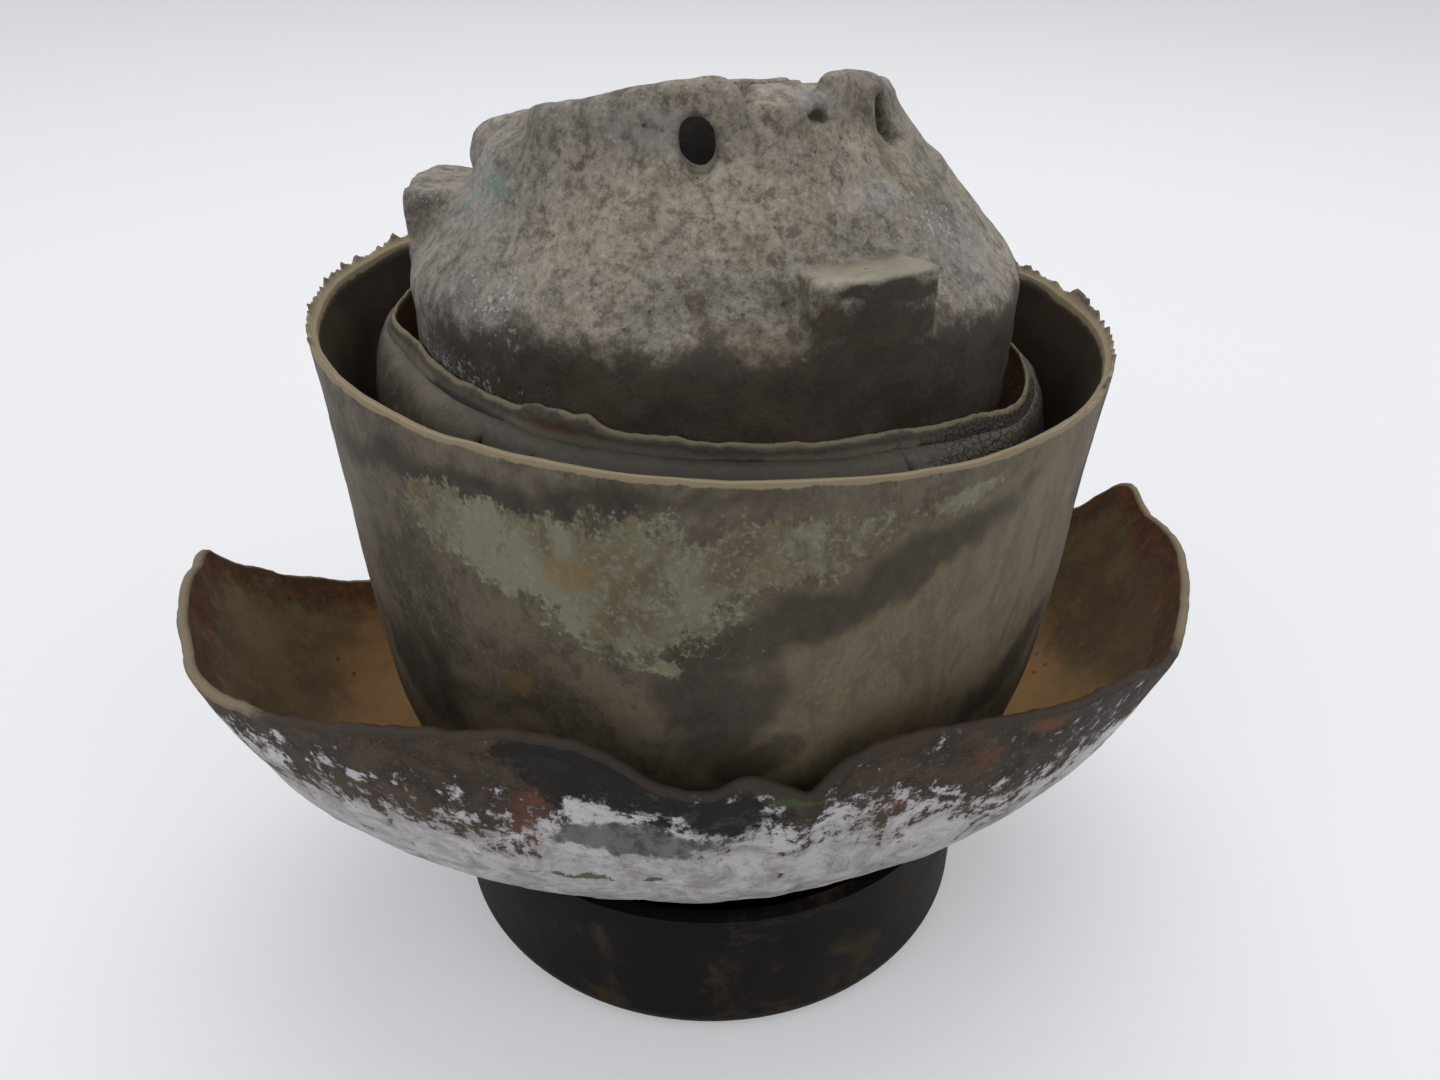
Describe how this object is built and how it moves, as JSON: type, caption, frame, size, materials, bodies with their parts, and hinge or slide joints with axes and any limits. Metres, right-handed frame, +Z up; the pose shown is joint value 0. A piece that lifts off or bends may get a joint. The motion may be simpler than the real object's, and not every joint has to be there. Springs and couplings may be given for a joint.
{
  "type": "engine mount",
  "caption": "Used hydraulic engine mount, upside down: slanted cast aluminium housing in a worn rubber boot, rusty dish heat shield and black base cup.",
  "frame": {"origin": "mouth of the core's threaded hole, on the mount's axis at the face of the base cup", "axes": "+X along the heat shield's long axis, +Z up the mount's axis towards the slanted crown of the housing (the mount stands upside down)"},
  "size_m": [0.17, 0.1166, 0.1456],
  "materials": {
    "cast_aluminium": "weathered sand-cast, dull",
    "core_aluminium": "die-cast",
    "boot_rubber": "worn matt EPDM",
    "spring_rubber": "matt natural rubber",
    "shield_steel": "worn pale coating with rust and dirt",
    "black_coated_steel": "satin black coating",
    "plain_steel": "zinc plated, dull"
  },
  "bodies": {
    "root": {"base_cup": "black_coated_steel", "spacer_sleeve": "plain_steel", "heat_shield": "shield_steel", "boot": "boot_rubber", "boot_clamp_ring": "plain_steel", "inner_core": "core_aluminium", "core_insert": "plain_steel", "main_spring": "spring_rubber", "outer_ring": "plain_steel", "lower_track_plate": "core_aluminium", "upper_track_plate": "core_aluminium", "track_rivets": "plain_steel", "decoupler_disc": "spring_rubber", "bellows": "spring_rubber", "bellows_ring": "plain_steel", "housing": "cast_aluminium", "housing_insert": "plain_steel"}
  },
  "joints": []
}
